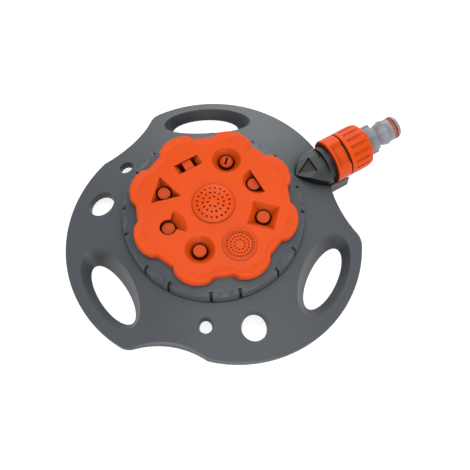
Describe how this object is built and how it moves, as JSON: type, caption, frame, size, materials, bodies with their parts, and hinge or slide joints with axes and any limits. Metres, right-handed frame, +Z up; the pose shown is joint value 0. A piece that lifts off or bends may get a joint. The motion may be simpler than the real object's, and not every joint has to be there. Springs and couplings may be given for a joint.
{
  "type": "multi-pattern sprinkler",
  "caption": "Ground-standing lawn sprinkler with a turning multi-pattern turret, a lobed base with hand holes, and a hose inlet with flow ring and union nut.",
  "frame": {"origin": "on the turret's axis, on the ground", "axes": "+Z up along the turret's axis, +X along the hose inlet, outwards"},
  "size_m": [0.2454, 0.1959, 0.0464],
  "materials": {
    "orange_plastic": "satin gloss",
    "grey_plastic": "fine matte",
    "pale_plastic": "satin",
    "steel": "satin",
    "rubber": "matte",
    "orange_rubber": "satin"
  },
  "bodies": {
    "base": {"base_shell": "grey_plastic", "inlet_housing": "grey_plastic", "housing_screws": "steel", "pivot_screw": "steel", "pivot_washer": "steel", "pivot_o_ring": "rubber", "detent_spring": "steel", "detent_screw": "steel", "seal_spring": "steel", "inlet_adapter": "grey_plastic", "throttle_cone": "pale_plastic", "inlet_filter": "pale_plastic", "union_washer": "rubber"},
    "turret": {"turret_skirt": "grey_plastic", "turret_disc": "orange_plastic", "nozzle_plate": "orange_plastic", "plate_gasket": "rubber", "centre_rose": "orange_plastic", "turret_screws": "steel"},
    "seal": {"port_seal": "rubber", "seal_sleeve": "pale_plastic", "seal_o_ring": "rubber"},
    "ring": {"flow_ring": "orange_plastic"},
    "sleeve": {"flow_sleeve": "pale_plastic", "sleeve_o_rings": "rubber"},
    "nipple": {"hose_nipple": "pale_plastic", "nipple_o_ring": "orange_rubber"},
    "nut": {"union_nut": "orange_plastic"}
  },
  "joints": [
    {"name": "turret_turn", "type": "hinge", "parent": "base", "child": "turret", "pos_m": [0, 0, 0.03], "axis": [0, 0, 1], "continuous": true, "deforming": ["detent_spring"]},
    {"name": "port_seal_slide", "type": "slide", "parent": "base", "child": "seal", "axis": [0, 0, 1], "range_m": [-0.0008, 0], "stiffness_N_per_m": 1500, "springref_m": 0.001, "deforming": ["seal_spring"]},
    {"name": "flow_turn", "type": "hinge", "parent": "base", "child": "ring", "pos_m": [0.0936, 0, 0.0165], "axis": [1, 0, 0], "range_deg": [0, 180]},
    {"name": "flow_sleeve_slide", "type": "slide", "parent": "base", "child": "sleeve", "axis": [1, 0, 0], "range_m": [-0.003, 0]},
    {"name": "nipple_slide", "type": "slide", "parent": "base", "child": "nipple", "axis": [1, 0, 0], "range_m": [0, 0.00907]},
    {"name": "nut_turn", "type": "hinge", "parent": "nipple", "child": "nut", "pos_m": [0.11, 0, 0.0165], "axis": [1, 0, 0], "range_deg": [0, 1800]}
  ],
  "couplings": [
    {"joint": "flow_sleeve_slide", "follows": "flow_turn", "m_per_rad": -0.00095493},
    {"joint": "nut_turn", "follows": "nipple_slide", "rad_per_m": 3463.7}
  ]
}
